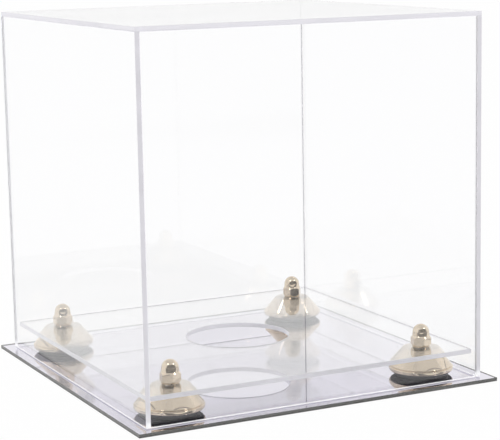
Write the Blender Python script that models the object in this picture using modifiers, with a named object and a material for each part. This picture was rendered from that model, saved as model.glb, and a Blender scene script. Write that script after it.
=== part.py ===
"""Display case of clear acrylic: a five-sided cover that lifts off a mirrored base.

Under the cover stands a clear platform with a round seat hole, carried by four gilt
risers. Each riser is a conical foot on a rubber pad, held to the platform by a screw
from inside the foot and a cap nut on top. Lengths are in metres, +Z is up, the front
is at -Y, and the origin is the middle of the underside of the base.
"""

import math

import bmesh
import bpy
from mathutils import Matrix, Vector

# Cover: five acrylic sheets, welded into a box that is open below
COVER_WIDTH = 0.254
COVER_DEPTH = 0.254
COVER_HEIGHT = 0.254
COVER_SHEET = 0.003
WELD_LINE = 0.00005

# Base: a clear sheet bonded onto its silvered backing, with a lip all round the cover
BASE_LIP = 0.0085
BASE_CLEAR_SHEET = 0.00195
BASE_BACKING_SHEET = 0.0005
BOND_LINE = 0.00005
BASE_EDGE_BREAK = 0.0003

# Gap left wherever one piece rests on another
SEAT_GAP = 0.0003

# Platform: a square sheet, loose inside the cover, with a round seat hole
PLATFORM_CLEARANCE = 0.002
PLATFORM_SHEET = 0.003
PLATFORM_EDGE_BREAK = 0.0003
SEAT_HOLE_DIAMETER = 0.075
RISER_INSET = 0.0254

# Riser foot: a gilt cone over a rim bead, with a fine groove between, counterbored from below
FOOT_DIAMETER = 0.045
FOOT_TOP_DIAMETER = 0.0264
FOOT_HEIGHT = 0.0129
FOOT_RIM_HEIGHT = 0.0026
FOOT_RIM_STEP = 0.0008
FOOT_RIM_ROUND = 0.0006
FOOT_GROOVE_WIDTH = 0.0008
FOOT_GROOVE_DEPTH = 0.0005
FOOT_TOP_ROUND = 0.0012
FOOT_ROOF = 0.004
COUNTERBORE_DIAMETER = 0.0175

# Rubber pad under each foot, with a thin flange that reaches out under the rim
PAD_THICKNESS = 0.0029
PAD_INSET = 0.0035
PAD_EDGE_ROUND = 0.0004
PAD_FLANGE_INSET = 0.0008
PAD_FLANGE_THICKNESS = 0.0006

# Screw up through the foot and the platform
SCREW_DIAMETER = 0.00794
SCREW_HOLE_CLEARANCE = 0.0004
SCREW_HEAD_DIAMETER = 0.0139
SCREW_HEAD_HEIGHT = 0.0042
SCREW_HEAD_ROUND = 0.0012
SCREW_TIP_BREAK = 0.0008
SOCKET_FLATS = 0.00476
SOCKET_DEPTH = 0.0025

# Cap nut: a hexagon with a high dome
NUT_FLATS = 0.0127
NUT_HEIGHT = 0.0156
NUT_HEX_HEIGHT = 0.0078
NUT_DOME_DIAMETER = 0.0117
NUT_BORE_DEPTH = 0.0115
NUT_FACE_SHARE = 0.94
NUT_CHAMFER = math.radians(55)
THREAD_CLEARANCE = 0.0003
SCREW_TIP_GAP = 0.001

# How far each tightened nut has turned from one corner pointing straight back
NUT_TURNS = {
    "front_left": math.radians(-9),
    "front_right": math.radians(-13),
    "back_left": math.radians(1),
    "back_right": math.radians(22),
}

# Facets of the turned shapes, and how far a cutter runs past what it cuts
TURNED_STEPS = 32
SMALL_STEPS = 16
SEAT_HOLE_STEPS = 64
ROUND_STEPS = 3
DOME_STEPS = 5
CUT_OVERRUN = 0.001

# Heights and sizes that follow from the ones above
BASE_TOP = BASE_BACKING_SHEET + BOND_LINE + BASE_CLEAR_SHEET
BASE_WIDTH = COVER_WIDTH + 2 * BASE_LIP
BASE_DEPTH = COVER_DEPTH + 2 * BASE_LIP
PAD_BOTTOM = BASE_TOP + SEAT_GAP
FOOT_BOTTOM = PAD_BOTTOM + PAD_THICKNESS + SEAT_GAP
PLATFORM_BOTTOM = FOOT_BOTTOM + FOOT_HEIGHT + SEAT_GAP
PLATFORM_TOP = PLATFORM_BOTTOM + PLATFORM_SHEET
NUT_BOTTOM = PLATFORM_TOP + SEAT_GAP
SCREW_SHOULDER = FOOT_BOTTOM + FOOT_HEIGHT - FOOT_ROOF - SEAT_GAP
SCREW_TIP = NUT_BOTTOM + NUT_BORE_DEPTH - SCREW_TIP_GAP
PLATFORM_WIDTH = COVER_WIDTH - 2 * (COVER_SHEET + PLATFORM_CLEARANCE)
PLATFORM_DEPTH = COVER_DEPTH - 2 * (COVER_SHEET + PLATFORM_CLEARANCE)
RISER_X = PLATFORM_WIDTH / 2 - RISER_INSET
RISER_Y = PLATFORM_DEPTH / 2 - RISER_INSET
SCREW_HOLE_RADIUS = SCREW_DIAMETER / 2 + SCREW_HOLE_CLEARANCE

CORNERS = {
    "front_left": (-RISER_X, -RISER_Y),
    "front_right": (RISER_X, -RISER_Y),
    "back_left": (-RISER_X, RISER_Y),
    "back_right": (RISER_X, RISER_Y),
}


def clear_scene():
    for old in list(bpy.data.objects):
        bpy.data.objects.remove(old, do_unlink=True)


def new_collection(name):
    collection = bpy.data.collections.new(name)
    bpy.context.scene.collection.children.link(collection)
    return collection


def new_material(name, colour, roughness, metallic, alpha=1.0):
    material = bpy.data.materials.new(name)
    material.use_nodes = True
    shader = material.node_tree.nodes["Principled BSDF"]
    shader.inputs["Base Color"].default_value = (*colour, 1.0)
    shader.inputs["Roughness"].default_value = roughness
    shader.inputs["Metallic"].default_value = metallic
    shader.inputs["Alpha"].default_value = alpha
    return material


def new_object(name, mesh, collection, material=None):
    piece = bpy.data.objects.new(name, mesh)
    collection.objects.link(piece)
    if material and not mesh.materials:
        mesh.materials.append(material)
    return piece


def carry(piece, carrier):
    """Hang a piece on the empty that it moves with, leaving it where it is."""
    piece.parent = carrier
    piece.matrix_parent_inverse = Matrix.Translation(-carrier.location)


def new_carrier(name, collection):
    """An empty on a vertical axis through the middle of the base's upper face."""
    carrier = bpy.data.objects.new(name, None)
    carrier.location = (0, 0, BASE_TOP)
    collection.objects.link(carrier)
    return carrier


def mesh_from(shape, name):
    mesh = bpy.data.meshes.new(name)
    shape.to_mesh(mesh)
    shape.free()
    return mesh


def sheet(name, size, centre, collection, material, edge_break=0):
    """A flat sheet of the given size, its sharp edges broken where asked."""
    shape = bmesh.new()
    bmesh.ops.create_cube(shape, size=1)
    bmesh.ops.scale(shape, vec=Vector(size), verts=shape.verts)
    piece = new_object(name, mesh_from(shape, name), collection, material)
    piece.location = centre
    if edge_break:
        bevel = piece.modifiers.new("edge_break", "BEVEL")
        bevel.width = edge_break
        bevel.segments = 1
    return piece


def rounded_outline(corners, steps=ROUND_STEPS):
    """Points along an outline of (radius, height, round) corners, round ones as arcs."""
    points = []
    for index, (x, z, radius) in enumerate(corners):
        corner = Vector((x, z))
        if not radius:
            points.append(corner)
            continue
        before = Vector(corners[index - 1][:2]) - corner
        after = Vector(corners[(index + 1) % len(corners)][:2]) - corner
        before.normalize()
        after.normalize()
        half = before.angle(after) / 2
        centre = corner + (before + after).normalized() * (radius / math.sin(half))
        start = corner + before * (radius / math.tan(half)) - centre
        end = corner + after * (radius / math.tan(half)) - centre
        sweep = start.angle_signed(end)
        for step in range(steps + 1):
            turned = start.copy()
            turned.rotate(Matrix.Rotation(-sweep * step / steps, 2))
            points.append(centre + turned)
    return points


def turned_mesh(name, outline, steps, closed=False):
    """Turn an outline of (radius, height) points, down the outer side, about Z."""
    profile = bpy.data.meshes.new(name)
    vertices = [(x, 0, z) for x, z in outline]
    edges = [(index, index + 1) for index in range(len(vertices) - 1)]
    if closed:
        edges.append((len(vertices) - 1, 0))
    profile.from_pydata(vertices, edges, [])
    blank = bpy.data.objects.new(name, profile)
    bpy.context.scene.collection.objects.link(blank)
    screw = blank.modifiers.new("turn", "SCREW")
    screw.steps = steps
    screw.render_steps = steps
    screw.use_merge_vertices = True
    screw.merge_threshold = WELD_LINE / 10
    return finished_mesh(blank, name)


def finished_mesh(blank, name):
    """The mesh that an object's modifiers give, with the object itself removed."""
    evaluated = blank.evaluated_get(bpy.context.evaluated_depsgraph_get())
    mesh = bpy.data.meshes.new_from_object(evaluated)
    mesh.name = name
    bpy.data.objects.remove(blank, do_unlink=True)
    return mesh


def hexagon(flats, low, high, name):
    """A hexagonal bar across the given flats, from one height to another."""
    shape = bmesh.new()
    corner_radius = flats / 2 / math.cos(math.pi / 6)
    bmesh.ops.create_cone(
        shape, cap_ends=True, segments=6, radius1=corner_radius, radius2=corner_radius, depth=high - low
    )
    bmesh.ops.translate(shape, verts=shape.verts, vec=(0, 0, (low + high) / 2))
    return mesh_from(shape, name)


def cylinder(radius, low, high, steps, name):
    shape = bmesh.new()
    bmesh.ops.create_cone(
        shape, cap_ends=True, segments=steps, radius1=radius, radius2=radius, depth=high - low
    )
    bmesh.ops.translate(shape, verts=shape.verts, vec=(0, 0, (low + high) / 2))
    return mesh_from(shape, name)


def new_cutter(name, mesh, collection):
    cutter = new_object(name, mesh, collection)
    cutter.hide_render = True
    cutter.display_type = "WIRE"
    return cutter


def combine(piece, other, operation):
    boolean = piece.modifiers.new(operation.lower(), "BOOLEAN")
    boolean.object = other
    boolean.operation = operation
    boolean.solver = "EXACT"


def smooth_round(mesh):
    mesh.shade_smooth()
    mesh.set_sharp_from_angle(angle=math.radians(35))


def build_base(parts, materials):
    sheet(
        "mirror_backing",
        (BASE_WIDTH, BASE_DEPTH, BASE_BACKING_SHEET),
        (0, 0, BASE_BACKING_SHEET / 2),
        parts,
        materials["backing"],
    )
    sheet(
        "base_sheet",
        (BASE_WIDTH, BASE_DEPTH, BASE_CLEAR_SHEET),
        (0, 0, BASE_TOP - BASE_CLEAR_SHEET / 2),
        parts,
        materials["acrylic"],
        BASE_EDGE_BREAK,
    )


def build_cover(parts, materials):
    """Side walls run the full depth, front and back fit between them, the top covers all."""
    carrier = new_carrier("cover_lift_axis", parts)
    rim = BASE_TOP + SEAT_GAP
    wall_height = COVER_HEIGHT - COVER_SHEET - WELD_LINE
    wall_middle = rim + wall_height / 2
    top_middle = rim + COVER_HEIGHT - COVER_SHEET / 2
    across = COVER_WIDTH / 2 - COVER_SHEET / 2
    along = COVER_DEPTH / 2 - COVER_SHEET / 2
    between = COVER_WIDTH - 2 * (COVER_SHEET + WELD_LINE)
    side_wall = (COVER_SHEET, COVER_DEPTH, wall_height)
    end_wall = (between, COVER_SHEET, wall_height)
    panels = {
        "cover_left": (side_wall, (-across, 0, wall_middle)),
        "cover_right": (side_wall, (across, 0, wall_middle)),
        "cover_front": (end_wall, (0, -along, wall_middle)),
        "cover_back": (end_wall, (0, along, wall_middle)),
        "cover_top": ((COVER_WIDTH, COVER_DEPTH, COVER_SHEET), (0, 0, top_middle)),
    }
    for name, (size, centre) in panels.items():
        panel = sheet(name, size, centre, parts, materials["acrylic"])
        carry(panel, carrier)


def build_platform(parts, cutters, materials, carrier):
    middle = PLATFORM_TOP - PLATFORM_SHEET / 2
    platform = sheet(
        "platform",
        (PLATFORM_WIDTH, PLATFORM_DEPTH, PLATFORM_SHEET),
        (0, 0, middle),
        parts,
        materials["acrylic"],
        PLATFORM_EDGE_BREAK,
    )
    low = PLATFORM_BOTTOM - CUT_OVERRUN
    high = PLATFORM_TOP + CUT_OVERRUN
    seat = cylinder(SEAT_HOLE_DIAMETER / 2, low, high, SEAT_HOLE_STEPS, "seat_hole_cutter")
    combine(platform, new_cutter("seat_hole_cutter", seat, cutters), "DIFFERENCE")
    screw_hole = cylinder(SCREW_HOLE_RADIUS, low, high, SMALL_STEPS, "screw_hole_cutter")
    for corner, (x, y) in CORNERS.items():
        cutter = new_cutter("screw_hole_cutter_" + corner, screw_hole, cutters)
        cutter.location = (x, y, 0)
        combine(platform, cutter, "DIFFERENCE")
    carry(platform, carrier)


def foot_mesh():
    """The gilt foot, with its underside at height zero."""
    radius = FOOT_DIAMETER / 2
    cone = radius - FOOT_RIM_STEP
    top_radius = FOOT_TOP_DIAMETER / 2
    bore = COUNTERBORE_DIAMETER / 2
    roof = FOOT_HEIGHT - FOOT_ROOF
    outline = rounded_outline(
        [
            (SCREW_HOLE_RADIUS, FOOT_HEIGHT, 0),
            (top_radius, FOOT_HEIGHT, FOOT_TOP_ROUND),
            (cone, FOOT_RIM_HEIGHT + FOOT_GROOVE_WIDTH, 0),
            (cone - FOOT_GROOVE_DEPTH, FOOT_RIM_HEIGHT, 0),
            (radius, FOOT_RIM_HEIGHT, FOOT_RIM_ROUND),
            (radius, 0, FOOT_RIM_ROUND),
            (bore, 0, 0),
            (bore, roof, 0),
            (SCREW_HOLE_RADIUS, roof, 0),
        ]
    )
    return turned_mesh("riser_foot", outline, TURNED_STEPS, closed=True)


def pad_mesh():
    """The flanged rubber ring under a foot, open in the middle as the counterbore is."""
    flange = FOOT_DIAMETER / 2 - PAD_FLANGE_INSET
    outer = FOOT_DIAMETER / 2 - PAD_INSET
    inner = COUNTERBORE_DIAMETER / 2
    step = PAD_THICKNESS - PAD_FLANGE_THICKNESS
    outline = rounded_outline(
        [
            (inner, PAD_THICKNESS, 0),
            (flange, PAD_THICKNESS, 0),
            (flange, step, 0),
            (outer, step, 0),
            (outer, 0, PAD_EDGE_ROUND),
            (inner, 0, 0),
        ],
        steps=2,
    )
    return turned_mesh("riser_pad", outline, TURNED_STEPS, closed=True)


def screw_mesh(cutters):
    """The screw, with its shoulder at height zero, its head below and its socket cut."""
    head = SCREW_HEAD_DIAMETER / 2
    shank = SCREW_DIAMETER / 2
    length = SCREW_TIP - SCREW_SHOULDER
    outline = rounded_outline(
        [
            (0, length, 0),
            (shank - SCREW_TIP_BREAK, length, 0),
            (shank, length - SCREW_TIP_BREAK, 0),
            (shank, 0, 0),
            (head, 0, 0),
            (head, -SCREW_HEAD_HEIGHT, SCREW_HEAD_ROUND),
            (0, -SCREW_HEAD_HEIGHT, 0),
        ]
    )
    collection = bpy.context.scene.collection
    blank = new_object("screw_blank", turned_mesh("riser_screw", outline, SMALL_STEPS), collection)
    low = -SCREW_HEAD_HEIGHT - CUT_OVERRUN
    high = -SCREW_HEAD_HEIGHT + SOCKET_DEPTH
    socket = hexagon(SOCKET_FLATS, low, high, "socket_cutter")
    combine(blank, new_cutter("socket_cutter", socket, cutters), "DIFFERENCE")
    return finished_mesh(blank, "riser_screw")


def nut_mesh(cutters):
    """The cap nut, with its lower face at height zero."""
    collection = bpy.context.scene.collection
    face = NUT_FLATS / 2 * NUT_FACE_SHARE
    reach = NUT_FLATS / 2 / math.cos(math.pi / 6) + CUT_OVERRUN
    drop = (reach - face) * math.tan(NUT_CHAMFER)
    envelope_outline = [
        (0, NUT_HEX_HEIGHT),
        (face, NUT_HEX_HEIGHT),
        (reach, NUT_HEX_HEIGHT - drop),
        (reach, drop),
        (face, 0),
        (0, 0),
    ]
    envelope = turned_mesh("nut_envelope", envelope_outline, TURNED_STEPS)
    dome = NUT_DOME_DIAMETER / 2
    centre = NUT_HEIGHT - dome
    dome_outline = []
    for step in range(DOME_STEPS + 1):
        angle = math.pi / 2 * (1 - step / DOME_STEPS)
        dome_outline.append((dome * math.cos(angle), centre + dome * math.sin(angle)))
    dome_outline[0] = (0, NUT_HEIGHT)
    dome_outline.append((dome, NUT_HEX_HEIGHT - CUT_OVERRUN))
    dome_outline.append((0, NUT_HEX_HEIGHT - CUT_OVERRUN))
    cap = turned_mesh("nut_cap", dome_outline, TURNED_STEPS)
    bore_radius = SCREW_DIAMETER / 2 + THREAD_CLEARANCE
    bore = cylinder(bore_radius, -CUT_OVERRUN, NUT_BORE_DEPTH, SMALL_STEPS, "nut_bore")
    bar = hexagon(NUT_FLATS, -CUT_OVERRUN, NUT_HEX_HEIGHT + CUT_OVERRUN, "nut_bar")
    blank = new_object("nut_blank", bar, collection)
    combine(blank, new_cutter("nut_envelope", envelope, cutters), "INTERSECT")
    combine(blank, new_cutter("nut_cap", cap, cutters), "UNION")
    combine(blank, new_cutter("nut_bore", bore, cutters), "DIFFERENCE")
    return finished_mesh(blank, "cap_nut")


def build_risers(parts, cutters, materials, carrier):
    kinds = {
        "riser_foot": (foot_mesh(), FOOT_BOTTOM, materials["gilt"]),
        "riser_pad": (pad_mesh(), PAD_BOTTOM, materials["rubber"]),
        "riser_screw": (screw_mesh(cutters), SCREW_SHOULDER, materials["steel"]),
        "cap_nut": (nut_mesh(cutters), NUT_BOTTOM, materials["gilt"]),
    }
    for kind, (mesh, height, material) in kinds.items():
        smooth_round(mesh)
        for corner, (x, y) in CORNERS.items():
            piece = new_object(kind + "_" + corner, mesh, parts, material)
            piece.location = (x, y, height)
            if kind == "cap_nut":
                piece.rotation_euler.z = NUT_TURNS[corner]
            carry(piece, carrier)


def build():
    clear_scene()
    parts = new_collection("display_case")
    cutters = new_collection("cutters")
    materials = {
        "acrylic": new_material("clear_acrylic", (0.92, 0.92, 0.94), 0.03, 0.0, 0.3),
        "backing": new_material("mirror_silver", (0.86, 0.86, 0.88), 0.03, 1.0),
        "gilt": new_material("champagne_gilt", (0.78, 0.69, 0.56), 0.12, 1.0),
        "rubber": new_material("black_rubber", (0.06, 0.055, 0.065), 0.7, 0.0),
        "steel": new_material("plated_steel", (0.62, 0.62, 0.63), 0.3, 1.0),
    }
    build_base(parts, materials)
    build_cover(parts, materials)
    stand = new_carrier("stand_lift_axis", parts)
    build_platform(parts, cutters, materials, stand)
    build_risers(parts, cutters, materials, stand)


build()
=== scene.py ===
"""Finished look of a clear display case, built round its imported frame.

A five-sided acrylic cover stands on a mirrored base. Inside it a clear platform with
a round seat hole is carried by four gilt risers, each a foot on a rubber pad with a
screw up through it and a domed cap nut on top. Lengths are in metres and +Z is up.
"""

import math

import bmesh
import bpy
from mathutils import Matrix, Vector


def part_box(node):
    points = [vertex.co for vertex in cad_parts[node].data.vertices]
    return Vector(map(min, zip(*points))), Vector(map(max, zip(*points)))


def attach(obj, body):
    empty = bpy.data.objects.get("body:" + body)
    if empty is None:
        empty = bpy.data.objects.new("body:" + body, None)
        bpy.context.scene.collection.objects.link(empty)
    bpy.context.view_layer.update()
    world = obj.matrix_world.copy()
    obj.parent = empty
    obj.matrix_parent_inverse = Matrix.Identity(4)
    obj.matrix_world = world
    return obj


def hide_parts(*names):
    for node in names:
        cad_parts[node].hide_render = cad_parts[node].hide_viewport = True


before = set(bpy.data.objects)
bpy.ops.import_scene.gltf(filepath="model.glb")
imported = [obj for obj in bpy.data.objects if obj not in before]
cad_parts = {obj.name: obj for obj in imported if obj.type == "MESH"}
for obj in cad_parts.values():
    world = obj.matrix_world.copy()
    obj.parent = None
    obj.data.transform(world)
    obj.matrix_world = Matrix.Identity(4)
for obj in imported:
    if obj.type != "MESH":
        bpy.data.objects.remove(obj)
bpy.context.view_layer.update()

bl_info = {
    "name": "Acrylic Display Case",
    "version": (1, 0, 0),
    "blender": (4, 5, 0),
    "location": "3D View > Sidebar > Display Case",
    "description": "Builds the sheets, risers and stage of a clear display case on its packed frame",
    "category": "Add Mesh",
}

CORNERS = ("front_left", "front_right", "back_left", "back_right")
PANELS = ("cover_top", "cover_front", "cover_back", "cover_left", "cover_right")

# Points nearer to each other than this are one point
MERGE = 1e-6

# How far the ring beside an arc lies from it, as a share of the arc's radius
SUPPORT_SHARE = 0.08

# Facets along the arcs of the feet, the pads, a screw's head and a nut's dome
FOOT_STEPS = 8
PAD_STEPS = 5
HEAD_STEPS = 4
DOME_STEPS = 18

# Shares of the pitch: the thread's depth, half its ridge, half its crest, and how far it sinks in
THREAD_DEPTH_SHARE = 0.54
THREAD_RIDGE_SHARE = 0.42
THREAD_CREST_SHARE = 0.0625
THREAD_SINK_SHARE = 0.125

# A face is square to an axis where its normal reaches this far along it
SQUARE = 0.99

# A holed sheet's rims are the edges where it turns by more than this
RIM_ANGLE = math.radians(60)

# An edge shows as sharp where it turns by more than this
SHEET_SHARP = math.radians(15)
TURNED_SHARP = math.radians(35)
NUT_SHARP = math.radians(25)

# Refraction of the clear acrylic, and the one whose Fresnel value tells low angles on the table top
ACRYLIC_IOR = 1.49
TABLE_IOR = 1.45

# The studio, and the dim room that gloss shows towards the front
WHITE = (1.0, 1.0, 1.0)
CEILING = (0.78, 0.78, 0.78)
FILL_STRENGTH = 0.9
ROOM = (0.06, 0.055, 0.05)
ROOM_SHARE = 0.93
ROOM_AZIMUTH = math.radians(-8)

# The table top: how far it lies below the base, how pale it is, and how much it shows as background
FLOOR_DROP = 0.0002
PAPER_SHARE = 0.9
BACKDROP_SHARE = 0.97

# Azimuth and elevation of each soft lamp
LAMPS = {
    "left": (math.radians(-66), math.radians(54)),
    "right": (math.radians(38), math.radians(48)),
}

# Width of the camera's sensor in millimetres
SENSOR_WIDTH = 36


class SheetSettings(bpy.types.PropertyGroup):
    """Sizes of the acrylic sheets that the frame doesn't give."""

    arris: bpy.props.FloatProperty(
        name="Cover arris",
        description="Width of the polished arris along each edge of a cover panel",
        default=0.00025,
        unit="LENGTH",
    )
    flat_arris: bpy.props.FloatProperty(
        name="Sheet arris",
        description="Width of the polished arris on the base sheet and the platform",
        default=0.0003,
        unit="LENGTH",
    )
    arris_steps: bpy.props.IntProperty(
        name="Arris steps", description="Facets across each arris", default=2, min=1
    )
    seat_hole: bpy.props.FloatProperty(
        name="Seat hole", description="Diameter of the round seat hole", default=0.075, unit="LENGTH"
    )
    screw_hole: bpy.props.FloatProperty(
        name="Screw hole", description="Diameter of each screw hole", default=0.00874, unit="LENGTH"
    )
    silver_depth: bpy.props.FloatProperty(
        name="Silver depth",
        description="How deep the silver appears under its clear sheet at a low angle",
        default=0.00043,
        unit="LENGTH",
    )
    silver_margin: bpy.props.FloatProperty(
        name="Silver margin", description="Clear strip round the silvered face", default=0.0002, unit="LENGTH"
    )
    reach: bpy.props.FloatProperty(
        name="Reach",
        description="How far each piece comes down towards the one that it rests on",
        default=0.00025,
        unit="LENGTH",
    )
    hole_steps: bpy.props.IntProperty(
        name="Hole steps", description="Facets round the seat hole", default=128, min=24
    )


class RiserSettings(bpy.types.PropertyGroup):
    """Sizes of a riser's pieces that the frame doesn't give."""

    steps: bpy.props.IntProperty(
        name="Turning steps", description="Facets round each turned piece", default=96, min=24
    )
    foot_top: bpy.props.FloatProperty(
        name="Foot top", description="Diameter of the foot's flat top", default=0.0264, unit="LENGTH"
    )
    rim_height: bpy.props.FloatProperty(
        name="Rim height", description="Height of the bead round the foot", default=0.0026, unit="LENGTH"
    )
    rim_step: bpy.props.FloatProperty(
        name="Rim step",
        description="How far the bead stands out from the cone",
        default=0.0008,
        unit="LENGTH",
    )
    rim_round: bpy.props.FloatProperty(
        name="Rim round", description="Radius of the bead's edges", default=0.0006, unit="LENGTH"
    )
    groove_width: bpy.props.FloatProperty(
        name="Groove width", description="Height of the groove above the bead", default=0.0008, unit="LENGTH"
    )
    groove_depth: bpy.props.FloatProperty(
        name="Groove depth",
        description="How far the groove goes in under the cone",
        default=0.0005,
        unit="LENGTH",
    )
    cone_round: bpy.props.FloatProperty(
        name="Cone round", description="Radius of the cone's lower edge", default=0.0004, unit="LENGTH"
    )
    top_round: bpy.props.FloatProperty(
        name="Top round", description="Radius at the top of the cone", default=0.0008, unit="LENGTH"
    )
    foot_roof: bpy.props.FloatProperty(
        name="Foot roof", description="Metal left above the counterbore", default=0.004, unit="LENGTH"
    )
    counterbore: bpy.props.FloatProperty(
        name="Counterbore", description="Diameter of the foot's counterbore", default=0.0175, unit="LENGTH"
    )
    pad_round: bpy.props.FloatProperty(
        name="Pad round", description="Radius of the rubber pad's edges", default=0.00025, unit="LENGTH"
    )
    flange_reach: bpy.props.FloatProperty(
        name="Flange reach",
        description="How far the pad's flange stands out from it",
        default=0.0027,
        unit="LENGTH",
    )
    flange: bpy.props.FloatProperty(
        name="Flange", description="Thickness of the pad's flange", default=0.0006, unit="LENGTH"
    )
    shank: bpy.props.FloatProperty(
        name="Screw shank", description="Diameter over the screw's thread", default=0.00794, unit="LENGTH"
    )
    pitch: bpy.props.FloatProperty(
        name="Thread pitch", description="Height of one turn of the thread", default=0.00141, unit="LENGTH"
    )
    head_height: bpy.props.FloatProperty(
        name="Head height", description="Height of the screw's head", default=0.0042, unit="LENGTH"
    )
    head_round: bpy.props.FloatProperty(
        name="Head round", description="Radius of the head's lower edge", default=0.0012, unit="LENGTH"
    )
    socket_flats: bpy.props.FloatProperty(
        name="Socket flats", description="Width of the key socket", default=0.00476, unit="LENGTH"
    )
    socket_depth: bpy.props.FloatProperty(
        name="Socket depth", description="Depth of the key socket", default=0.0025, unit="LENGTH"
    )
    nut_flats: bpy.props.FloatProperty(
        name="Nut flats", description="Width of the cap nut over its flats", default=0.0127, unit="LENGTH"
    )
    nut_hex: bpy.props.FloatProperty(
        name="Hexagon height", description="Height of the nut's hexagon", default=0.0078, unit="LENGTH"
    )
    nut_dome: bpy.props.FloatProperty(
        name="Dome diameter", description="Diameter of the nut's dome", default=0.0117, unit="LENGTH"
    )
    dome_lean: bpy.props.FloatProperty(
        name="Dome lean",
        description="Draft of the short side under the dome",
        default=math.radians(5),
        unit="ROTATION",
    )
    nut_bore: bpy.props.FloatProperty(
        name="Bore depth", description="Depth of the nut's blind bore", default=0.0115, unit="LENGTH"
    )
    nut_face: bpy.props.FloatProperty(
        name="Face share",
        description="Round end face as a share of the flats",
        default=0.94,
        subtype="FACTOR",
    )
    nut_chamfer: bpy.props.FloatProperty(
        name="Chamfer",
        description="Slope of the chamfer on the corners",
        default=math.radians(55),
        unit="ROTATION",
    )
    nut_relief: bpy.props.FloatProperty(
        name="Relief",
        description="Break at the bore's mouth and groove under the dome",
        default=0.0003,
        unit="LENGTH",
    )


class FinishSettings(bpy.types.PropertyGroup):
    """Colours of the finishes."""

    acrylic: bpy.props.FloatVectorProperty(
        name="Acrylic", description="Tint of the clear sheets", default=(0.996, 0.996, 0.999), subtype="COLOR"
    )
    # Colour of the painted glow in the edges of the cover panels and the platform
    edge: bpy.props.FloatVectorProperty(
        name="Polished edge",
        description="Light gathered in a sheet's edges",
        default=(0.66, 0.65, 0.69),
        subtype="COLOR",
    )
    # Grey that stands in as painted shade on the base sheet's edge
    base_edge_painted_shade: bpy.props.FloatVectorProperty(
        name="Base edge",
        description="Edge of the sheet over the mirror",
        default=(0.24, 0.24, 0.23),
        subtype="COLOR",
    )
    silver: bpy.props.FloatVectorProperty(
        name="Silver", description="Mirror under the base sheet", default=(0.71, 0.69, 0.76), subtype="COLOR"
    )
    backing: bpy.props.FloatVectorProperty(
        name="Backing paint",
        description="Paint behind the mirror",
        default=(0.13, 0.13, 0.125),
        subtype="COLOR",
    )
    gilt: bpy.props.FloatVectorProperty(
        name="Gilt", description="Plating of the feet and nuts", default=(0.73, 0.63, 0.50), subtype="COLOR"
    )
    rubber: bpy.props.FloatVectorProperty(
        name="Rubber", description="Pads under the feet", default=(0.045, 0.042, 0.05), subtype="COLOR"
    )
    steel: bpy.props.FloatVectorProperty(
        name="Steel", description="Plating of the screws", default=(0.6, 0.6, 0.62), subtype="COLOR"
    )


class StageSettings(bpy.types.PropertyGroup):
    """Camera, lamps and floor."""

    azimuth: bpy.props.FloatProperty(
        name="Azimuth",
        description="Turn of the camera round the case",
        default=math.radians(-26.49),
        unit="ROTATION",
    )
    elevation: bpy.props.FloatProperty(
        name="Elevation", description="Camera's height angle", default=math.radians(9.77), unit="ROTATION"
    )
    roll: bpy.props.FloatProperty(
        name="Roll",
        description="Tilt of the camera about its view",
        default=math.radians(-1.07),
        unit="ROTATION",
    )
    distance: bpy.props.FloatProperty(
        name="Distance", description="From the aim point to the camera", default=1.23254, unit="LENGTH"
    )
    aim: bpy.props.FloatVectorProperty(
        name="Aim",
        description="Point in the middle of the picture",
        default=(0.01014, -0.00486, 0.10671),
        subtype="XYZ",
    )
    lens: bpy.props.FloatProperty(
        name="Lens", description="Focal length on a 36 mm wide sensor", default=122.81, unit="CAMERA"
    )
    floor_size: bpy.props.FloatProperty(
        name="Floor size", description="Width of the floor", default=16.0, unit="LENGTH"
    )
    floor: bpy.props.FloatVectorProperty(
        name="Floor", description="Colour of the floor", default=(1.0, 1.0, 1.0), subtype="COLOR"
    )
    lamp_size: bpy.props.FloatProperty(
        name="Lamp size", description="Width of each soft lamp", default=0.3, unit="LENGTH"
    )
    lamp_distance: bpy.props.FloatProperty(
        name="Lamp distance", description="From the case to each lamp", default=2.5, unit="LENGTH"
    )
    lamp_power: bpy.props.FloatProperty(
        name="Lamp power", description="Power of each soft lamp", default=4.0, unit="POWER"
    )


class Value:
    """A shader socket that adds, takes away and multiplies as a number does."""

    def __init__(self, finish, socket):
        self.finish = finish
        self.socket = socket

    def __add__(self, other):
        return self.finish.math("ADD", self, other)

    def __radd__(self, other):
        return self.finish.math("ADD", other, self)

    def __sub__(self, other):
        return self.finish.math("SUBTRACT", self, other)

    def __rsub__(self, other):
        return self.finish.math("SUBTRACT", other, self)

    def __mul__(self, other):
        return self.finish.math("MULTIPLY", self, other)

    def __rmul__(self, other):
        return self.finish.math("MULTIPLY", other, self)


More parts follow.
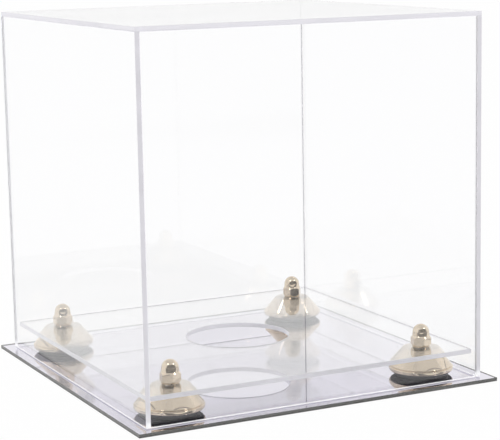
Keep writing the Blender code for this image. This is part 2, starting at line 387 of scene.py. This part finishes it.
class Finish:
    """The nodes of one material or of the world."""

    def __init__(self, owner):
        owner.use_nodes = True
        self.owner = owner
        self.tree = owner.node_tree
        self.tree.nodes.clear()

    def node(self, kind, settings=None, inputs=None, output=0):
        """One node, its settings made first, with values or other nodes at its sockets."""
        made = self.tree.nodes.new(kind)
        for name, value in (settings or {}).items():
            setattr(made, name, value)
        for name, value in (inputs or {}).items():
            socket = made.inputs[name]
            if isinstance(value, Value):
                self.tree.links.new(value.socket, socket)
            elif socket.type == "RGBA" and len(value) == 3:
                socket.default_value = (*value, 1.0)
            else:
                socket.default_value = value
        return Value(self, made.outputs[output]) if len(made.outputs) else None

    def math(self, operation, first, second):
        return self.node("ShaderNodeMath", {"operation": operation}, {0: first, 1: second})

    def blend(self, share, first, second):
        """A colour between two others, the second where share is 1."""
        return self.node("ShaderNodeMix", {"data_type": "RGBA"}, {0: share, 6: first, 7: second}, 2)

    def place(self, stretch=(1, 1, 1)):
        """Object coordinates, stretched for a pattern that runs one way."""
        spot = self.node("ShaderNodeTexCoord", output="Object")
        return self.node("ShaderNodeMapping", inputs={"Vector": spot, "Scale": stretch})

    def noise(self, scale, detail=3.0, stretch=(1, 1, 1)):
        where = self.place(stretch)
        return self.node("ShaderNodeTexNoise", inputs={"Vector": where, "Scale": scale, "Detail": detail})

    def ramp(self, value, low, high):
        """A value brought smoothly from 0 at low to 1 at high."""
        settings = {"interpolation_type": "SMOOTHSTEP"}
        return self.node("ShaderNodeMapRange", settings, {"Value": value, "From Min": low, "From Max": high})

    def bump(self, height, strength, distance):
        inputs = {"Height": height, "Strength": strength, "Distance": distance}
        return self.node("ShaderNodeBump", inputs=inputs)

    def mix(self, share, first, second):
        """Two shaders, the second where share is 1."""
        return self.node("ShaderNodeMixShader", inputs={0: share, 1: first, 2: second})

    def show(self, shader):
        of_world = isinstance(self.owner, bpy.types.World)
        kind = "ShaderNodeOutputWorld" if of_world else "ShaderNodeOutputMaterial"
        self.node(kind, inputs={"Surface": shader})
        return self.owner

    def principled(self, **inputs):
        """The main shader, its sockets named with underscores for spaces."""
        named = {name.replace("_", " "): value for name, value in inputs.items()}
        return self.node("ShaderNodeBsdfPrincipled", inputs=named)

    def glass(self):
        """Clear acrylic without a tint, for the light that goes through an edge."""
        return self.principled(Base_Color=WHITE, Roughness=0.0, IOR=ACRYLIC_IOR, Transmission_Weight=1.0)


def colours():
    return bpy.context.scene.case_finishes


def shade(colour, share):
    return tuple(part * share for part in colour)


def new_finish(name):
    return Finish(bpy.data.materials.new(name))


def once(name, make):
    """The finish of that name, made the first time that it is asked for."""
    return bpy.data.materials.get(name) or make(name)


def clear_face(name):
    """Polished face of a sheet, with the faint waviness of cast acrylic."""
    finish = new_finish(name)
    tint = tuple(colours().acrylic)
    cloud = finish.noise(scale=9.0, detail=2.0)
    waves = finish.noise(scale=14.0, detail=1.0)
    return finish.show(
        finish.principled(
            Base_Color=finish.blend(cloud, tint, shade(tint, 0.996)),
            Roughness=0.0,
            IOR=ACRYLIC_IOR,
            Transmission_Weight=1.0,
            Normal=finish.bump(waves, strength=0.03, distance=0.0004),
        )
    )


def polished_edge_painted_glow(name):
    """Edge of a sheet, lit by a painted glow that stands in for the light that runs along inside it and comes
    out.

    The glow is painted dimmer from inside the sheet as painted shade, and painted brightest at the foot of a
    wall, over the mirror.
    """
    finish = new_finish(name)
    tint = tuple(colours().edge)
    streaks = finish.noise(scale=60.0, detail=4.0, stretch=(0.15, 0.15, 1.0))
    colour = finish.blend(streaks, shade(tint, 1.12), shade(tint, 0.9))
    height = finish.node("ShaderNodeSeparateXYZ", inputs={"Vector": finish.place()}, output="Z")
    # Painted shade: the edge colour is darker where the edge is seen from inside the sheet
    inside = finish.node("ShaderNodeNewGeometry", output="Backfacing")
    colour = finish.blend(inside, colour, shade(tint, 0.75))
    # Painted light: the edge colour turns near white at the foot of each wall, over the mirror
    colour = finish.blend(finish.ramp(height, low=0.008, high=0.004), colour, (0.98, 0.98, 1.0))
    # Painted glow: the edge emits its own colour at strength 0.35, though it is no lamp
    painted_glow = finish.principled(
        Base_Color=colour,
        Roughness=0.12 + 0.1 * finish.noise(scale=300.0),
        IOR=ACRYLIC_IOR,
        Emission_Color=colour,
        Emission_Strength=0.35,
    )
    return finish.show(finish.mix(0.22, painted_glow, finish.glass()))


def base_edge_painted_shade(name):
    """Edge of the clear sheet over the mirror, with painted shade for the darkening by what lies under it."""
    finish = new_finish(name)
    tint = tuple(colours().base_edge_painted_shade)
    streaks = finish.noise(scale=45.0, detail=4.0, stretch=(0.2, 0.2, 1.0))
    colour = finish.blend(streaks, shade(tint, 1.3), shade(tint, 0.7))
    roughness = 0.15 + 0.1 * finish.noise(scale=300.0)
    # Painted shade: half of the edge is this grey body, the other half clear glass
    body = finish.principled(Base_Color=colour, Roughness=roughness, IOR=ACRYLIC_IOR)
    return finish.show(finish.mix(0.5, body, finish.glass()))


def mirror_silver(name):
    """Silvered face, with a trace of haze."""
    finish = new_finish(name)
    tint = tuple(colours().silver)
    haze = finish.noise(scale=7.0, detail=4.0)
    return finish.show(
        finish.principled(
            Base_Color=finish.blend(haze, tint, shade(tint, 0.985)),
            Roughness=0.006 + 0.006 * haze,
            Metallic=1.0,
        )
    )


def mirror_face(name):
    """Top of the base: the silver seen through its thin clear sheet, polished above."""
    finish = new_finish(name)
    tint = tuple(colours().silver)
    haze = finish.noise(scale=7.0, detail=4.0)
    return finish.show(
        finish.principled(
            Base_Color=finish.blend(haze, tint, shade(tint, 0.985)),
            Roughness=0.004 + 0.006 * haze,
            Metallic=1.0,
            Coat_Weight=1.0,
            Coat_IOR=ACRYLIC_IOR,
            Coat_Roughness=0.0,
        )
    )


def backing_paint(name):
    """Grey paint that seals the back of the mirror, sprayed a little unevenly."""
    finish = new_finish(name)
    tint = tuple(colours().backing)
    mottle = finish.noise(scale=120.0, detail=6.0)
    return finish.show(
        finish.principled(
            Base_Color=finish.blend(mottle, shade(tint, 1.25), shade(tint, 0.75)),
            Roughness=0.45 + 0.2 * mottle,
            Normal=finish.bump(finish.noise(scale=900.0), strength=0.15, distance=0.0001),
        )
    )


def gilt_plating(name):
    """Champagne gilt, polished, with slight clouding and fine wiping marks."""
    finish = new_finish(name)
    tint = tuple(colours().gilt)
    cloud = finish.noise(scale=35.0, detail=4.0)
    wiping = finish.noise(scale=260.0, detail=3.0, stretch=(1.0, 1.0, 0.15))
    return finish.show(
        finish.principled(
            Base_Color=finish.blend(cloud, shade(tint, 1.04), shade(tint, 0.95)),
            Roughness=0.02 + 0.045 * finish.ramp(wiping, low=0.45, high=0.75),
            Metallic=1.0,
            Normal=finish.bump(finish.noise(scale=70.0, detail=1.0), strength=0.04, distance=0.0003),
        )
    )


def pad_rubber(name):
    """Black moulded rubber with a dusty grain."""
    finish = new_finish(name)
    tint = tuple(colours().rubber)
    dust = finish.ramp(finish.noise(scale=160.0, detail=6.0), low=0.45, high=0.8)
    return finish.show(
        finish.principled(
            Base_Color=finish.blend(dust, tint, shade(tint, 1.9)),
            Roughness=0.55 + 0.25 * dust,
            Normal=finish.bump(finish.noise(scale=2200.0), strength=0.35, distance=0.00012),
        )
    )


def plated_steel(name):
    """Zinc-plated steel, turned, with rings of fine marks."""
    finish = new_finish(name)
    tint = tuple(colours().steel)
    marks = finish.noise(scale=500.0, detail=4.0, stretch=(0.05, 0.05, 1.0))
    return finish.show(
        finish.principled(
            Base_Color=finish.blend(marks, tint, shade(tint, 0.8)),
            Roughness=0.22 + 0.2 * marks,
            Metallic=1.0,
        )
    )


def settle(name, shape, finishes, body, nodes, sharp=SHEET_SHARP):
    """Make the finished shape a piece that rides on a body and stands for its nodes."""
    mesh = bpy.data.meshes.new(name)
    shape.to_mesh(mesh)
    shape.free()
    mesh.shade_smooth()
    mesh.set_sharp_from_angle(angle=sharp)
    for finish in finishes:
        mesh.materials.append(finish)
    piece = bpy.data.objects.new(name, mesh)
    bpy.context.scene.collection.objects.link(piece)
    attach(piece, body)
    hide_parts(*nodes)
    return piece


def only(kind, parts):
    """The vertices, or the edges, among what a mesh tool gives back."""
    return [part for part in parts if isinstance(part, kind)]


def break_edges(shape, edges, width, steps):
    bmesh.ops.bevel(
        shape,
        geom=edges,
        offset=width,
        offset_type="OFFSET",
        segments=steps,
        profile=0.5,
        affect="EDGES",
        material=-1,
    )


def sheet_shape(low, high, arris, steps):
    """A flat sheet between two corners, with its edges as the second finish."""
    shape = bmesh.new()
    bmesh.ops.create_cube(shape, size=1)
    bmesh.ops.scale(shape, vec=high - low, verts=shape.verts)
    bmesh.ops.translate(shape, vec=(low + high) / 2, verts=shape.verts)
    break_edges(shape, shape.edges[:], arris, steps)
    mark_edges(shape, thin_axis(low, high))
    return shape


def sink_mirror(shape, margin, depth):
    """Set the silvered face as far below the top as it appears through the clear sheet."""
    shape.normal_update()
    flat = [face for face in shape.faces if face.normal.z > SQUARE]
    top = max(flat, key=lambda face: face.calc_area())
    rim = bmesh.ops.inset_region(shape, faces=[top], thickness=margin, depth=-depth, use_even_offset=True)
    for face in rim["faces"]:
        face.material_index = 1


def thin_axis(low, high):
    size = high - low
    return min(range(3), key=lambda axis: size[axis])


def mark_edges(shape, axis):
    """Give every face that doesn't look along the sheet's thin axis the second finish."""
    shape.normal_update()
    for face in shape.faces:
        face.material_index = 0 if abs(face.normal[axis]) > SQUARE else 1


def holed_sheet_shape(low, high, holes, arris, steps):
    """A flat sheet with round holes, each (centre, radius, facets)."""
    shape = bmesh.new()
    corners = [(low.x, low.y), (high.x, low.y), (high.x, high.y), (low.x, high.y)]
    outline = [shape.verts.new((x, y, low.z)) for x, y in corners]
    for first, second in zip(outline, outline[1:] + outline[:1]):
        shape.edges.new((first, second))
    for centre, radius, facets in holes:
        place = Matrix.Translation((centre.x, centre.y, low.z))
        bmesh.ops.create_circle(shape, cap_ends=False, segments=facets, radius=radius, matrix=place)
    bmesh.ops.triangle_fill(shape, use_beauty=True, use_dissolve=False, edges=shape.edges[:])
    bmesh.ops.recalc_face_normals(shape, faces=shape.faces)
    if shape.faces[:][0].normal.z > 0:
        bmesh.ops.reverse_faces(shape, faces=shape.faces)
    grown = bmesh.ops.extrude_face_region(shape, geom=shape.faces[:], use_keep_orig=True)["geom"]
    lifted = only(bmesh.types.BMVert, grown)
    bmesh.ops.translate(shape, vec=(0, 0, high.z - low.z), verts=lifted)
    bmesh.ops.recalc_face_normals(shape, faces=shape.faces)
    shape.normal_update()
    rims = [edge for edge in shape.edges if edge.calc_face_angle(0) > RIM_ANGLE]
    break_edges(shape, rims, arris, steps)
    mark_edges(shape, 2)
    for face in shape.faces:
        spot = face.calc_center_median().xy
        if any((spot - centre.xy).length < radius + arris for centre, radius, facets in holes[1:]):
            face.material_index = 0
    return shape


def rounded_outline(corners, steps):
    """Points along an outline of (radius, height, round) corners, round ones as arcs.

    A ring close before and after each arc keeps the straight parts shaded as straight.
    """
    points = []
    for index, (x, z, radius) in enumerate(corners):
        corner = Vector((x, z))
        if not radius:
            points.append(corner)
            continue
        before = Vector(corners[index - 1][:2]) - corner
        after = Vector(corners[(index + 1) % len(corners)][:2]) - corner
        before.normalize()
        after.normalize()
        half = before.angle(after) / 2
        centre = corner + (before + after).normalized() * (radius / math.sin(half))
        start = corner + before * (radius / math.tan(half)) - centre
        end = corner + after * (radius / math.tan(half)) - centre
        sweep = start.angle_signed(end)
        points.append(centre + start + before * radius * SUPPORT_SHARE)
        for step in range(steps + 1):
            turned = start.copy()
            turned.rotate(Matrix.Rotation(-sweep * step / steps, 2))
            points.append(centre + turned)
        points.append(centre + end + after * radius * SUPPORT_SHARE)
    return points


def turned_shape(outline, steps):
    """A closed outline of (radius, height) points, turned about Z."""
    shape = bmesh.new()
    ring = [shape.verts.new((x, 0, z)) for x, z in outline]
    edges = [shape.edges.new(pair) for pair in zip(ring, ring[1:] + ring[:1])]
    bmesh.ops.spin(
        shape,
        geom=ring + edges,
        cent=(0, 0, 0),
        axis=(0, 0, 1),
        dvec=(0, 0, 0),
        angle=2 * math.pi,
        steps=steps,
        use_merge=True,
        use_normal_flip=False,
        use_duplicate=False,
    )
    bmesh.ops.remove_doubles(shape, verts=shape.verts, dist=MERGE)
    bmesh.ops.recalc_face_normals(shape, faces=shape.faces)
    return shape


def ringed_shape(rings, steps):
    """A closed shell through rings about Z, each a function from angle to (radius, height)."""
    shape = bmesh.new()
    bmesh.ops.create_circle(shape, cap_ends=True, segments=steps, radius=1)
    loop = shape.verts[:]
    edges = shape.edges[:]
    place_ring(loop, rings[0])
    for ring in rings[1:]:
        grown = bmesh.ops.extrude_edge_only(shape, edges=edges)["geom"]
        loop = only(bmesh.types.BMVert, grown)
        fresh = set(loop)
        edges = [edge for edge in only(bmesh.types.BMEdge, grown) if fresh.issuperset(edge.verts)]
        place_ring(loop, ring)
    bmesh.ops.remove_doubles(shape, verts=shape.verts, dist=MERGE)
    bmesh.ops.recalc_face_normals(shape, faces=shape.faces)
    return shape


def place_ring(loop, ring):
    for vertex in loop:
        angle = math.atan2(vertex.co.y, vertex.co.x)
        radius, height = ring(angle)
        vertex.co = (radius * math.cos(angle), radius * math.sin(angle), height)


def circle(radius, height):
    return lambda angle: (radius, height)


def hexagon_radius(flats, angle, sharpness=300):
    """Reach of a hexagon with barely rounded corners, one of them at angle zero."""
    total = 0
    for side in range(6):
        facing = math.cos(angle - math.pi / 6 - side * math.pi / 3)
        total += max(0, facing) ** sharpness
    return flats / 2 / total ** (1 / sharpness)


def move(shape, place, turn=0):
    bmesh.ops.rotate(shape, cent=(0, 0, 0), matrix=Matrix.Rotation(turn, 3, "Z"), verts=shape.verts)
    bmesh.ops.translate(shape, vec=place, verts=shape.verts)


def middle(low, high, height):
    return Vector(((low.x + high.x) / 2, (low.y + high.y) / 2, height))


def foot_shape(radius, height, sizes):
    """A cone over a rim bead, with a fine groove between, hollowed out from below."""
    cone = radius - sizes.rim_step
    bore = sizes.counterbore / 2
    hole = bpy.context.scene.case_sheets.screw_hole / 2
    roof = height - sizes.foot_roof
    outline = rounded_outline(
        [
            (hole, height, 0),
            (sizes.foot_top / 2, height, sizes.top_round),
            (cone, sizes.rim_height + sizes.groove_width, sizes.cone_round),
            (cone - sizes.groove_depth, sizes.rim_height, sizes.cone_round / 2),
            (radius, sizes.rim_height, sizes.rim_round),
            (radius, 0, sizes.rim_round),
            (bore, 0, sizes.pad_round),
            (bore, roof, 0),
            (hole, roof, 0),
        ],
        FOOT_STEPS,
    )
    return turned_shape(outline, sizes.steps)


def pad_shape(radius, height, sizes):
    """A rubber ring with a thin flange out under the foot's rim."""
    inner = sizes.counterbore / 2
    outer = radius - sizes.flange_reach
    step = height - sizes.flange
    edge = sizes.pad_round
    corners = [
        (inner, height, edge),
        (radius, height, edge),
        (radius, step, edge),
        (outer, step, edge),
        (outer, 0, edge),
        (inner, 0, edge),
    ]
    return turned_shape(rounded_outline(corners, PAD_STEPS), sizes.steps)


def screw_shape(head_radius, length, sizes):
    """Socket head, core and one long thread, with the top of the head at height zero."""
    crest = sizes.shank / 2
    core = crest - THREAD_DEPTH_SHARE * sizes.pitch
    low = -sizes.head_height
    turn = sizes.head_round

    def socket(height):
        return lambda angle: (hexagon_radius(sizes.socket_flats, angle), height)

    rings = [socket(low + sizes.socket_depth), socket(low)]
    for step in range(HEAD_STEPS + 1):
        angle = math.pi / 2 * step / HEAD_STEPS
        rings.append(circle(head_radius - turn + turn * math.sin(angle), low + turn - turn * math.cos(angle)))
    rings += [circle(head_radius, 0), circle(core, 0), circle(core, length - core / 3)]
    rings += [circle(core * 2 / 3, length), circle(0, length)]
    shape = ringed_shape(rings, sizes.steps // 2)
    add_thread(shape, core, crest, length, sizes)
    return shape


def add_thread(shape, core, crest, length, sizes):
    """A ridge that climbs round the core, sunk a little into it."""
    half = sizes.pitch * THREAD_RIDGE_SHARE
    root = core - sizes.pitch * THREAD_SINK_SHARE
    start = sizes.pitch
    turns = int((length - 2 * start) / sizes.pitch)
    around = sizes.steps // 3
    flat = sizes.pitch * THREAD_CREST_SHARE
    ridge = [(root, -half), (crest, -flat), (crest, flat), (root, half)]
    points = [shape.verts.new((x, 0, start + z)) for x, z in ridge]
    edges = [shape.edges.new(pair) for pair in zip(points, points[1:] + points[:1])]
    made = bmesh.ops.spin(
        shape,
        geom=points + edges,
        cent=(0, 0, 0),
        axis=(0, 0, 1),
        dvec=(0, 0, sizes.pitch / around),
        angle=2 * math.pi * turns,
        steps=around * turns,
        use_merge=False,
        use_normal_flip=False,
        use_duplicate=False,
    )
    last = only(bmesh.types.BMVert, made["geom_last"])
    bmesh.ops.contextual_create(shape, geom=points)
    bmesh.ops.contextual_create(shape, geom=last)
    bmesh.ops.recalc_face_normals(shape, faces=shape.faces)


def nut_shape(height, sizes):
    """The cap nut: blind bore, chamfered hexagon and high dome, one corner along X."""
    relief = sizes.nut_relief
    bore = sizes.shank / 2 + relief
    dome = sizes.nut_dome / 2
    slope = math.tan(sizes.nut_chamfer)
    face = sizes.nut_flats / 2 * sizes.nut_face
    centre = height - dome
    lean = sizes.dome_lean
    foot = dome / math.cos(lean) + (centre - sizes.nut_hex) * math.tan(lean)

    def corner_ring(level, way):
        def ring(angle):
            reach = hexagon_radius(sizes.nut_flats, angle)
            return reach, level + way * (reach - face) * slope

        return ring

    rings = [
        circle(bore, sizes.nut_bore),
        circle(bore, relief),
        circle(bore + relief, 0),
        circle(face, 0),
        corner_ring(0, 1),
        corner_ring(sizes.nut_hex, -1),
        circle(face, sizes.nut_hex),
        circle(foot, sizes.nut_hex),
    ]
    for step in range(DOME_STEPS):
        angle = lean + (math.pi / 2 - lean) * step / DOME_STEPS
        rings.append(circle(dome * math.cos(angle), centre + dome * math.sin(angle)))
    rings.append(circle(0, height))
    return ringed_shape(rings, sizes.steps * 2)


def nut_turn(node, centre):
    """The way that the farthest corner of the frame's nut points."""
    points = [vertex.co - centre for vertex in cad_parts[node].data.vertices]
    corner = max(points, key=lambda point: point.xy.length)
    return math.atan2(corner.y, corner.x)


class CASE_OT_base(bpy.types.Operator):
    """Build the silvered backing and the clear sheet bonded on it"""

    bl_idname = "display_case.base"
    bl_label = "Mirrored base"

    def execute(self, context):
        sizes = context.scene.case_sheets
        low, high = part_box("mirror_backing")
        shape = sheet_shape(low, high, sizes.arris / 2, 1)
        for face in shape.faces:
            face.material_index = 0 if face.normal.z > SQUARE else 1
        finishes = [once("mirror_silver", mirror_silver), once("backing_paint", backing_paint)]
        settle("silvered_backing", shape, finishes, "base", ["mirror_backing"])
        low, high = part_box("base_sheet")
        shape = sheet_shape(low, high, sizes.flat_arris, sizes.arris_steps)
        sink_mirror(shape, sizes.silver_margin, sizes.silver_depth)
        finishes = [once("mirror_face", mirror_face), once("base_sheet_edge", base_edge_painted_shade)]
        sheet = settle("clear_base_sheet", shape, finishes, "base", ["base_sheet"])
        sheet.visible_shadow = False
        return {"FINISHED"}


class CASE_OT_cover(bpy.types.Operator):
    """Build the five welded panels of the cover"""

    bl_idname = "display_case.cover"
    bl_label = "Cover"

    def execute(self, context):
        sizes = context.scene.case_sheets
        for node in PANELS:
            low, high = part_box(node)
            if node != "cover_top":
                low.z -= sizes.reach
            shape = sheet_shape(low, high, sizes.arris, sizes.arris_steps)
            finishes = [once("clear_acrylic_face", clear_face), once("polished_edge_painted_glow", polished_edge_painted_glow)]
            name = node.replace("cover_", "clear_panel_")
            panel = settle(name, shape, finishes, "cover", [node])
            panel.visible_shadow = False
        return {"FINISHED"}


class CASE_OT_platform(bpy.types.Operator):
    """Build the clear platform with its seat hole and screw holes"""

    bl_idname = "display_case.platform"
    bl_label = "Platform"

    def execute(self, context):
        sizes = context.scene.case_sheets
        low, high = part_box("platform")
        low.z -= sizes.reach
        holes = [(middle(low, high, 0), sizes.seat_hole / 2, sizes.hole_steps)]
        for corner in CORNERS:
            spot = middle(*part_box("riser_foot_" + corner), 0)
            holes.append((spot, sizes.screw_hole / 2, sizes.hole_steps // 4))
        shape = holed_sheet_shape(low, high, holes, sizes.flat_arris, sizes.arris_steps)
        finishes = [once("clear_acrylic_face", clear_face), once("polished_edge_painted_glow", polished_edge_painted_glow)]
        sheet = settle("clear_platform", shape, finishes, "stand", ["platform"])
        sheet.visible_shadow = False
        return {"FINISHED"}


class CASE_OT_feet(bpy.types.Operator):
    """Turn the four gilt feet"""

    bl_idname = "display_case.feet"
    bl_label = "Gilt feet"

    def execute(self, context):
        sizes = context.scene.case_risers
        for corner in CORNERS:
            node = "riser_foot_" + corner
            low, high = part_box(node)
            low.z -= context.scene.case_sheets.reach
            shape = foot_shape((high.x - low.x) / 2, high.z - low.z, sizes)
            move(shape, middle(low, high, low.z))
            finishes = [once("gilt_plating", gilt_plating)]
            settle("gilt_foot_" + corner, shape, finishes, "stand", [node], TURNED_SHARP)
        return {"FINISHED"}


class CASE_OT_pads(bpy.types.Operator):
    """Turn the four rubber pads"""

    bl_idname = "display_case.pads"
    bl_label = "Rubber pads"

    def execute(self, context):
        sizes = context.scene.case_risers
        for corner in CORNERS:
            node = "riser_pad_" + corner
            low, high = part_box(node)
            low.z -= context.scene.case_sheets.reach
            shape = pad_shape((high.x - low.x) / 2, high.z - low.z, sizes)
            move(shape, middle(low, high, low.z))
            finishes = [once("pad_rubber", pad_rubber)]
            settle("rubber_pad_" + corner, shape, finishes, "stand", [node], TURNED_SHARP)
        return {"FINISHED"}


class CASE_OT_screws(bpy.types.Operator):
    """Build the four socket screws with their threads"""

    bl_idname = "display_case.screws"
    bl_label = "Screws"

    def execute(self, context):
        sizes = context.scene.case_risers
        for corner in CORNERS:
            node = "riser_screw_" + corner
            low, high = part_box(node)
            shoulder = low.z + sizes.head_height
            shape = screw_shape((high.x - low.x) / 2, high.z - shoulder, sizes)
            move(shape, middle(low, high, shoulder))
            finishes = [once("plated_steel", plated_steel)]
            settle("socket_screw_" + corner, shape, finishes, "stand", [node], TURNED_SHARP)
        return {"FINISHED"}


class CASE_OT_nuts(bpy.types.Operator):
    """Build the four domed cap nuts"""

    bl_idname = "display_case.nuts"
    bl_label = "Cap nuts"

    def execute(self, context):
        sizes = context.scene.case_risers
        for corner in CORNERS:
            node = "cap_nut_" + corner
            low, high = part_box(node)
            low.z -= context.scene.case_sheets.reach
            centre = middle(*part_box("riser_foot_" + corner), low.z)
            shape = nut_shape(high.z - low.z, sizes)
            move(shape, centre, nut_turn(node, centre))
            finishes = [once("gilt_plating", gilt_plating)]
            settle("domed_nut_" + corner, shape, finishes, "stand", [node], NUT_SHARP)
        return {"FINISHED"}


class CASE_OT_stage(bpy.types.Operator):
    """Set the floor, the studio light and the camera"""

    bl_idname = "display_case.stage"
    bl_label = "Stage"

    def execute(self, context):
        stage = context.scene.case_stage
        context.scene.view_settings.view_transform = "Standard"
        lay_floor(stage)
        light_studio(stage)
        aim_camera(stage)
        return {"FINISHED"}


def seen_ray(finish):
    """1 for a ray that a camera, a gloss or a clear sheet sends, and 0 for the rest."""
    kinds = ("Is Camera Ray", "Is Glossy Ray", "Is Transmission Ray")
    rays = [finish.node("ShaderNodeLightPath", output=kind) for kind in kinds]
    return finish.math("MINIMUM", rays[0] + rays[1] + rays[2], 1.0)


def reflected(finish):
    """1 once something has reflected the ray, and 0 for one that only passed clear sheets."""
    return finish.math("MINIMUM", finish.node("ShaderNodeLightPath", output="Glossy Depth"), 1.0)


def ahead(finish, where):
    """How far a place or direction lies towards the front, as the dim room does."""
    front = heading(ROOM_AZIMUTH, 0)
    return finish.node("ShaderNodeVectorMath", {"operation": "DOT_PRODUCT"}, {0: where, 1: front}, "Value")


def lay_floor(stage):
    """A white table top that shows as the background does and keeps a trace of shadow.

    A reflected ray that meets it at a low angle, ahead of the case, shows the dim room instead.
    """
    shape = bmesh.new()
    bmesh.ops.create_grid(shape, x_segments=1, y_segments=1, size=stage.floor_size / 2)
    mesh = bpy.data.meshes.new("floor")
    bmesh.ops.translate(shape, vec=(0, 0, -FLOOR_DROP), verts=shape.verts)
    shape.to_mesh(mesh)
    shape.free()
    finish = new_finish("white_floor")
    tint = tuple(stage.floor)
    paper = finish.node("ShaderNodeBsdfDiffuse", inputs={"Color": shade(tint, PAPER_SHARE)})
    place = finish.node("ShaderNodeNewGeometry", output="Position")
    distance = ahead(finish, place)
    fresnel = finish.node("ShaderNodeFresnel", inputs={"IOR": TABLE_IOR})
    grazing = finish.ramp(fresnel, low=0.48, high=0.6)
    far = 1.0 - finish.ramp(distance, low=0.9, high=1.2)
    beyond = finish.ramp(distance, low=0.21, high=0.25) * far * grazing * reflected(finish)
    seen = finish.blend(beyond * ROOM_SHARE, tint, ROOM)
    backdrop = finish.node("ShaderNodeEmission", inputs={"Color": seen, "Strength": 1.0})
    mesh.materials.append(finish.show(finish.mix(seen_ray(finish) * BACKDROP_SHARE, paper, backdrop)))
    floor = bpy.data.objects.new("floor", mesh)
    bpy.context.scene.collection.objects.link(floor)


def heading(azimuth, elevation):
    """Unit vector from the case towards an azimuth and elevation, zero azimuth being the front."""
    level = math.cos(elevation)
    return Vector((math.sin(azimuth) * level, -math.cos(azimuth) * level, math.sin(elevation)))


def light_studio(stage):
    """White surroundings, a dim room behind the lamps for gloss to show, and two soft lamps."""
    world = bpy.data.worlds.new("studio")
    bpy.context.scene.world = world
    finish = Finish(world)
    way = finish.node("ShaderNodeTexCoord", output="Generated")
    facing = ahead(finish, way)
    height = finish.node("ShaderNodeSeparateXYZ", inputs={"Vector": way}, output="Z")
    room = finish.ramp(facing, low=0.35, high=0.55) * finish.ramp(height, low=-0.14, high=-0.06)
    room = room * (1.0 - finish.ramp(height, low=0.68, high=0.8)) * reflected(finish)
    above = finish.ramp(height, low=0.6, high=0.8)
    camera = finish.node("ShaderNodeLightPath", output="Is Camera Ray")
    walls = finish.blend(above, WHITE, CEILING)
    gloss = finish.blend(room * ROOM_SHARE, walls, ROOM)
    shown = finish.blend(camera, gloss, WHITE)
    backdrop = finish.node("ShaderNodeBackground", inputs={"Color": shown, "Strength": 1.0})
    fill = finish.node("ShaderNodeBackground", inputs={"Color": WHITE, "Strength": FILL_STRENGTH})
    finish.show(finish.mix(seen_ray(finish), fill, backdrop))
    for name, (azimuth, elevation) in LAMPS.items():
        lamp = bpy.data.lights.new("soft_lamp_" + name, "AREA")
        lamp.size = stage.lamp_size
        lamp.energy = stage.lamp_power
        holder = bpy.data.objects.new("soft_lamp_" + name, lamp)
        direction = heading(azimuth, elevation)
        holder.location = direction * stage.lamp_distance
        holder.rotation_euler = direction.to_track_quat("Z", "Y").to_euler()
        bpy.context.scene.collection.objects.link(holder)


def aim_camera(stage):
    lens = bpy.data.cameras.new("camera")
    lens.sensor_fit = "HORIZONTAL"
    lens.sensor_width = SENSOR_WIDTH
    lens.lens = stage.lens
    camera = bpy.data.objects.new("camera", lens)
    bpy.context.scene.collection.objects.link(camera)
    back = heading(stage.azimuth, stage.elevation)
    right = Vector((math.cos(stage.azimuth), math.sin(stage.azimuth), 0))
    up = back.cross(right)
    tilted = right * math.cos(stage.roll) + up * math.sin(stage.roll)
    axes = Matrix((tilted, back.cross(tilted), back)).transposed().to_4x4()
    camera.matrix_world = Matrix.Translation(Vector(stage.aim) + back * stage.distance) @ axes
    bpy.context.scene.camera = camera


class CASE_PT_sidebar(bpy.types.Panel):
    """Lists the display case's operators and settings"""

    bl_idname = "CASE_PT_sidebar"
    bl_label = "Display Case"
    bl_space_type = "VIEW_3D"
    bl_region_type = "UI"
    bl_category = "Display Case"

    def draw(self, context):
        column = self.layout.column()
        for operator in OPERATORS:
            column.operator(operator.bl_idname)
        for name in SETTINGS:
            group = getattr(context.scene, name)
            box = self.layout.box()
            for key in group.__annotations__:
                box.prop(group, key)


SETTINGS = {
    "case_sheets": SheetSettings,
    "case_risers": RiserSettings,
    "case_finishes": FinishSettings,
    "case_stage": StageSettings,
}
OPERATORS = (
    CASE_OT_base,
    CASE_OT_cover,
    CASE_OT_platform,
    CASE_OT_feet,
    CASE_OT_pads,
    CASE_OT_screws,
    CASE_OT_nuts,
    CASE_OT_stage,
)


def register():
    for made in (*SETTINGS.values(), *OPERATORS, CASE_PT_sidebar):
        bpy.utils.register_class(made)
    for name, group in SETTINGS.items():
        setattr(bpy.types.Scene, name, bpy.props.PointerProperty(type=group))


def unregister():
    for name in SETTINGS:
        delattr(bpy.types.Scene, name)
    for made in reversed((*SETTINGS.values(), *OPERATORS, CASE_PT_sidebar)):
        bpy.utils.unregister_class(made)


def main():
    register()
    bpy.ops.display_case.base()
    bpy.ops.display_case.cover()
    bpy.ops.display_case.platform()
    bpy.ops.display_case.feet()
    bpy.ops.display_case.pads()
    bpy.ops.display_case.screws()
    bpy.ops.display_case.nuts()
    bpy.ops.display_case.stage()


if __name__ == "__main__":
    main()
